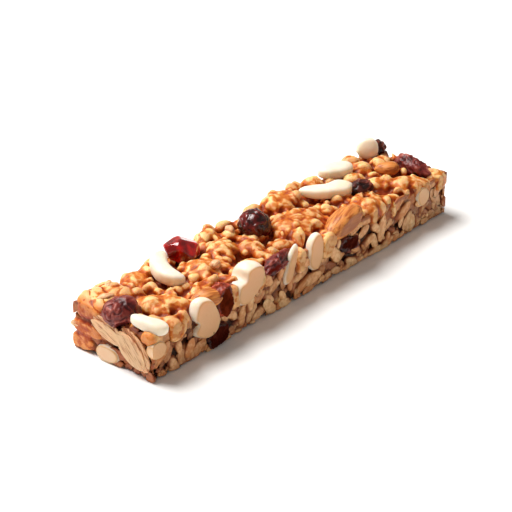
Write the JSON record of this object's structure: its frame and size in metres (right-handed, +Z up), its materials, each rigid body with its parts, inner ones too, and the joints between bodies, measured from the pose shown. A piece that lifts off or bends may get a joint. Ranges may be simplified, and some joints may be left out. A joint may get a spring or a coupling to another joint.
{
  "type": "protein bar",
  "caption": "Rectangular cereal bar of puffed grains and oat flakes in a caramel glaze, topped with cashews, almonds and dried fruit.",
  "frame": {"origin": "centre of the flat base that the bar rests on", "axes": "+X along the bar's length, +Y across it, +Z up out of the glazed top"},
  "size_m": [0.1262, 0.03, 0.0199],
  "materials": {
    "binder": "glazed puffed grain",
    "nut": "satin",
    "almond_skin": "satin",
    "dark_fruit": "glossy",
    "jelly_fruit": "glossy",
    "date": "satin"
  },
  "bodies": {
    "root": {"bar": "binder", "cashew_front": "nut", "cashew_crescent": "nut", "cashew_long": "nut", "cashew_oval": "nut", "cashew_back": "nut", "cashew_edge_near": "nut", "cashew_edge_middle": "nut", "cashew_edge_far": "nut", "almond_sliver": "nut", "peanut_corner": "nut", "peanut_end": "nut", "nut_side_far": "nut", "cashew_rear_left": "nut", "cashew_rear_right": "nut", "cashew_far_end": "nut", "almond_far": "almond_skin", "almond_near": "almond_skin", "almond_back": "almond_skin", "almond_rear": "almond_skin", "cranberry_front": "dark_fruit", "cranberry_round": "dark_fruit", "raisin_back": "dark_fruit", "raisin_middle": "dark_fruit", "raisin_far": "dark_fruit", "cranberry_strip": "dark_fruit", "raisin_side": "dark_fruit", "raisin_low": "dark_fruit", "raisin_rear_left": "dark_fruit", "cranberry_rear": "dark_fruit", "raisin_far_end": "dark_fruit", "cranberry_jelly": "jelly_fruit", "date_edge": "date"}
  },
  "joints": []
}
